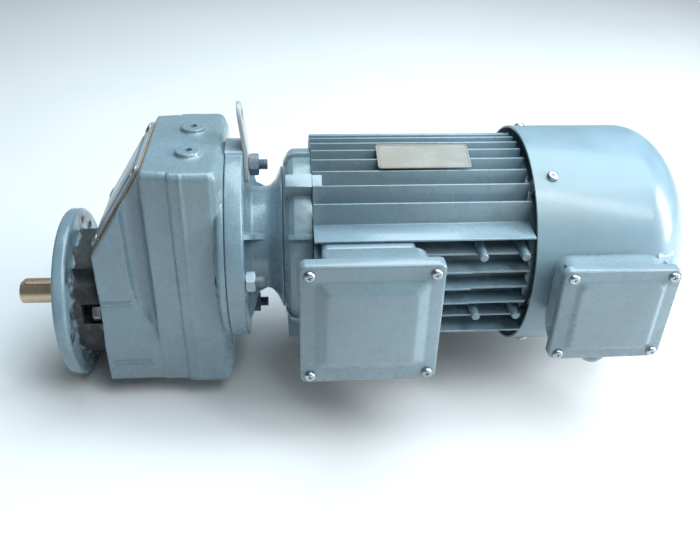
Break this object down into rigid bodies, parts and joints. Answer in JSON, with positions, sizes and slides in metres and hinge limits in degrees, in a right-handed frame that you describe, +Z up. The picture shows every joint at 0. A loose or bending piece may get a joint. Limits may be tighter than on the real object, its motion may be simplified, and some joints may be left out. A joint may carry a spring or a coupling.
{
  "type": "inline gear reducer",
  "caption": "Flange-mounted inline helical gear reducer with a finned motor, two terminal boxes and a domed forced-cooling fan cowl.",
  "frame": {"origin": "centre of the output flange's seat, on the output shaft's axis", "axes": "+X along the shafts from the output shaft towards the fan, +Z up, the terminal boxes on the -Y side"},
  "size_m": [0.617, 0.2565, 0.27],
  "materials": {
    "case_enamel": "glossy blue-grey enamel, brushed thick over rough casting",
    "alloy_enamel": "semi-gloss blue-grey enamel on cast aluminium",
    "sheet_enamel": "glossy blue-grey enamel on pressed sheet steel",
    "steel_enamel": "blue-grey enamel on steel plate",
    "bare_steel": "ground steel under a thin film of brownish preservative",
    "gear_steel": "hobbed and hardened steel, oiled",
    "stator_steel": "laminated steel with varnished windings",
    "zinc_steel": "zinc plated",
    "plate_metal": "brushed nameplate, blank",
    "gasket_sheet": "brown pressed gasket sheet",
    "seal_rubber": "black nitrile",
    "black_plastic": "moulded, matt"
  },
  "bodies": {
    "housing": {"adapter_nut_bottom": "zinc_steel", "adapter_nut_far": "zinc_steel", "adapter_nut_near": "zinc_steel", "adapter_nut_top": "zinc_steel", "adapter_stud_bottom": "zinc_steel", "adapter_stud_far": "zinc_steel", "adapter_stud_near": "zinc_steel", "adapter_stud_top": "zinc_steel", "bearing_carrier": "gear_steel", "cowl_screw_1": "zinc_steel", "cowl_screw_2": "zinc_steel", "cowl_screw_3": "zinc_steel", "cowl_screw_4": "zinc_steel", "drive_end_shield": "alloy_enamel", "fan_box_base": "alloy_enamel", "fan_box_cover": "alloy_enamel", "fan_box_screw_1": "zinc_steel", "fan_box_screw_2": "zinc_steel", "fan_box_screw_3": "zinc_steel", "fan_box_screw_4": "zinc_steel", "fan_cable_gland": "alloy_enamel", "fan_cowl": "sheet_enamel", "fan_end_shield": "alloy_enamel", "fan_motor": "gear_steel", "gear_housing": "case_enamel", "inspection_cover": "case_enamel", "inspection_gasket": "gasket_sheet", "inspection_screw_1": "zinc_steel", "inspection_screw_2": "zinc_steel", "inspection_screw_3": "zinc_steel", "inspection_screw_4": "zinc_steel", "layshaft_bearing_front": "zinc_steel", "layshaft_bearing_rear": "zinc_steel", "lifting_plate": "steel_enamel", "motor_adapter": "case_enamel", "motor_bearing_drive": "zinc_steel", "motor_bearing_fan_end": "zinc_steel", "motor_frame": "alloy_enamel", "nameplate": "plate_metal", "oil_level_plug": "zinc_steel", "output_bearing_front": "zinc_steel", "output_bearing_rear": "zinc_steel", "output_flange": "case_enamel", "output_oil_seal": "seal_rubber", "stator_core": "stator_steel", "terminal_board": "black_plastic", "terminal_box_base": "alloy_enamel", "terminal_box_cover": "alloy_enamel", "terminal_box_screw_1": "zinc_steel", "terminal_box_screw_2": "zinc_steel", "terminal_box_screw_3": "zinc_steel", "terminal_box_screw_4": "zinc_steel"},
    "output": {"output_shaft": "bare_steel", "output_key": "bare_steel", "output_gear": "gear_steel"},
    "layshaft": {"layshaft": "gear_steel", "layshaft_gear": "gear_steel"},
    "rotor": {"motor_shaft": "gear_steel", "rotor_core": "gear_steel"},
    "fan": {"fan_impeller": "black_plastic"}
  },
  "joints": [
    {"name": "rotor_spin", "type": "hinge", "parent": "housing", "child": "rotor", "pos_m": [0.31, 0, 0.057], "axis": [1, 0, 0], "continuous": true},
    {"name": "layshaft_spin", "type": "hinge", "parent": "housing", "child": "layshaft", "pos_m": [0.08, 0.03303, 0.05009], "axis": [1, 0, 0], "continuous": true},
    {"name": "output_spin", "type": "hinge", "parent": "housing", "child": "output", "pos_m": [0.03, 0, 0], "axis": [1, 0, 0], "continuous": true},
    {"name": "fan_spin", "type": "hinge", "parent": "housing", "child": "fan", "pos_m": [0.507, 0, 0.057], "axis": [1, 0, 0], "continuous": true}
  ],
  "couplings": [
    {"joint": "layshaft_spin", "follows": "rotor_spin", "ratio": -0.36364},
    {"joint": "output_spin", "follows": "rotor_spin", "ratio": 0.12121}
  ]
}
